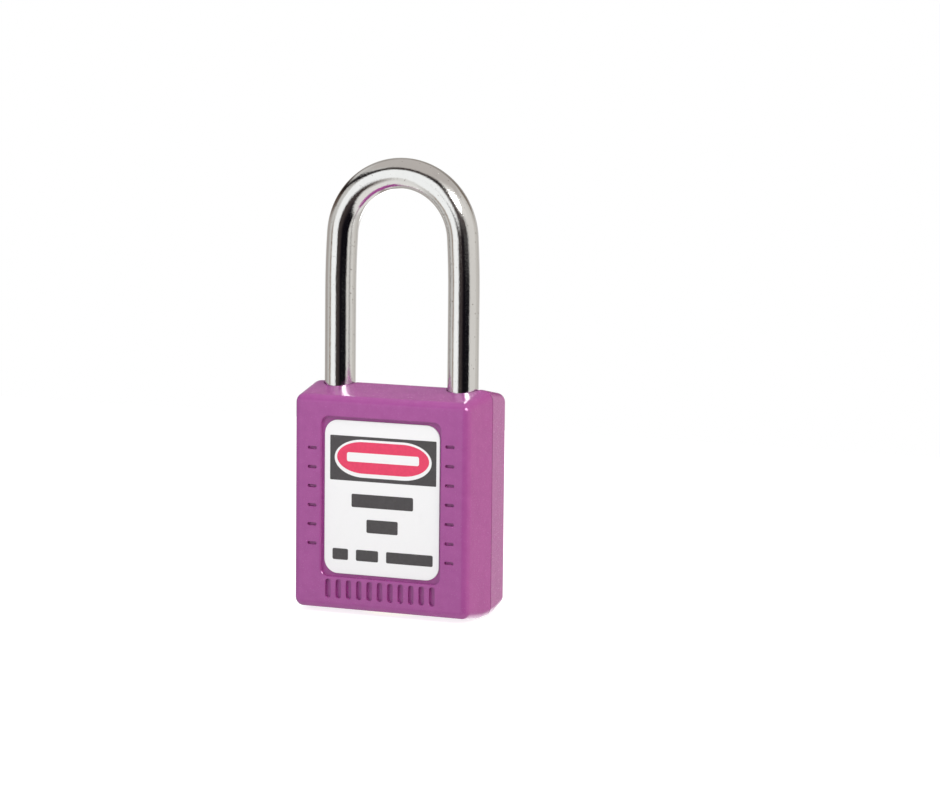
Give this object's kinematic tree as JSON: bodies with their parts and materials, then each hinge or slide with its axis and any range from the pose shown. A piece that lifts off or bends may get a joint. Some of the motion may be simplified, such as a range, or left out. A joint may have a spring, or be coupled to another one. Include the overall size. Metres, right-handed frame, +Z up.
{
  "type": "lockout padlock",
  "caption": "Safety lockout padlock with a moulded plastic body, a white label with plain fields of colour and a plated steel shackle that lifts once the plug is turned",
  "frame": {"origin": "on the standing surface, under the middle of the body", "axes": "+X runs across the width of the front to the viewer's right, +Y runs from the labelled front to the back, +Z points up along the shackle legs"},
  "size_m": [0.0386, 0.0196, 0.0887],
  "materials": {
    "body_plastic": "satin moulded magenta-violet thermoplastic",
    "label_film": "white printed film with a dark band, a red oval and plain bars",
    "plated_shackle": "bright nickel-chrome plating",
    "brass": "machined brass",
    "steel": "plain machined steel",
    "ball_steel": "polished hardened steel",
    "spring_steel": "bright spring wire"
  },
  "bodies": {
    "lock_body": {"body_shell": "body_plastic", "front_label": "label_film", "cylinder_housing": "brass", "chamber_cover": "steel", "cylinder_screw": "steel", "pin_spring_1": "spring_steel", "pin_spring_2": "spring_steel", "pin_spring_3": "spring_steel", "pin_spring_4": "spring_steel", "pin_spring_5": "spring_steel", "pin_spring_6": "spring_steel"},
    "shackle": {"shackle": "plated_shackle"},
    "plug": {"plug": "brass", "plug_clip": "steel", "cam": "steel"},
    "toe_ball": {"toe_ball": "ball_steel"},
    "heel_ball": {"heel_ball": "ball_steel"},
    "key_pin_1": {"key_pin_1": "brass"},
    "key_pin_2": {"key_pin_2": "brass"},
    "key_pin_3": {"key_pin_3": "brass"},
    "key_pin_4": {"key_pin_4": "brass"},
    "key_pin_5": {"key_pin_5": "brass"},
    "key_pin_6": {"key_pin_6": "brass"},
    "driver_pin_1": {"driver_pin_1": "steel"},
    "driver_pin_2": {"driver_pin_2": "steel"},
    "driver_pin_3": {"driver_pin_3": "steel"},
    "driver_pin_4": {"driver_pin_4": "steel"},
    "driver_pin_5": {"driver_pin_5": "steel"},
    "driver_pin_6": {"driver_pin_6": "steel"}
  },
  "joints": [
    {"name": "shackle_lift", "type": "slide", "parent": "lock_body", "child": "shackle", "axis": [0, 0, 1], "range_m": [0, 0.0143]},
    {"name": "plug_turn", "type": "hinge", "parent": "lock_body", "child": "plug", "pos_m": [0, 0, 0.0009], "axis": [0, 0, -1], "range_deg": [0, 90]},
    {"name": "toe_ball_slide", "type": "slide", "parent": "lock_body", "child": "toe_ball", "axis": [1, 0, 0], "range_m": [0, 0.00136]},
    {"name": "heel_ball_slide", "type": "slide", "parent": "lock_body", "child": "heel_ball", "axis": [-1, 0, 0], "range_m": [0, 0.00071]},
    {"name": "key_pin_1_slide", "type": "slide", "parent": "plug", "child": "key_pin_1", "axis": [0, 1, 0], "range_m": [-0.00205, 0]},
    {"name": "key_pin_2_slide", "type": "slide", "parent": "plug", "child": "key_pin_2", "axis": [0, 1, 0], "range_m": [-0.00125, 0]},
    {"name": "key_pin_3_slide", "type": "slide", "parent": "plug", "child": "key_pin_3", "axis": [0, 1, 0], "range_m": [-0.00165, 0]},
    {"name": "key_pin_4_slide", "type": "slide", "parent": "plug", "child": "key_pin_4", "axis": [0, 1, 0], "range_m": [-0.00085, 0]},
    {"name": "key_pin_5_slide", "type": "slide", "parent": "plug", "child": "key_pin_5", "axis": [0, 1, 0], "range_m": [-0.00185, 0]},
    {"name": "key_pin_6_slide", "type": "slide", "parent": "plug", "child": "key_pin_6", "axis": [0, 1, 0], "range_m": [-0.00135, 0]},
    {"name": "driver_pin_1_slide", "type": "slide", "parent": "lock_body", "child": "driver_pin_1", "axis": [1, 0, 0], "range_m": [0, 0.0014], "stiffness_N_per_m": 60, "springref_m": -0.0012, "deforming": ["pin_spring_1"]},
    {"name": "driver_pin_2_slide", "type": "slide", "parent": "lock_body", "child": "driver_pin_2", "axis": [1, 0, 0], "range_m": [0, 0.0014], "stiffness_N_per_m": 60, "springref_m": -0.0012, "deforming": ["pin_spring_2"]},
    {"name": "driver_pin_3_slide", "type": "slide", "parent": "lock_body", "child": "driver_pin_3", "axis": [1, 0, 0], "range_m": [0, 0.0014], "stiffness_N_per_m": 60, "springref_m": -0.0012, "deforming": ["pin_spring_3"]},
    {"name": "driver_pin_4_slide", "type": "slide", "parent": "lock_body", "child": "driver_pin_4", "axis": [1, 0, 0], "range_m": [0, 0.0014], "stiffness_N_per_m": 60, "springref_m": -0.0012, "deforming": ["pin_spring_4"]},
    {"name": "driver_pin_5_slide", "type": "slide", "parent": "lock_body", "child": "driver_pin_5", "axis": [1, 0, 0], "range_m": [0, 0.0014], "stiffness_N_per_m": 60, "springref_m": -0.0012, "deforming": ["pin_spring_5"]},
    {"name": "driver_pin_6_slide", "type": "slide", "parent": "lock_body", "child": "driver_pin_6", "axis": [1, 0, 0], "range_m": [0, 0.0014], "stiffness_N_per_m": 60, "springref_m": -0.0012, "deforming": ["pin_spring_6"]}
  ],
  "couplings": [
    {"joint": "toe_ball_slide", "follows": "plug_turn", "m_per_rad": 0.00085944},
    {"joint": "heel_ball_slide", "follows": "plug_turn", "m_per_rad": 0.00044563}
  ]
}
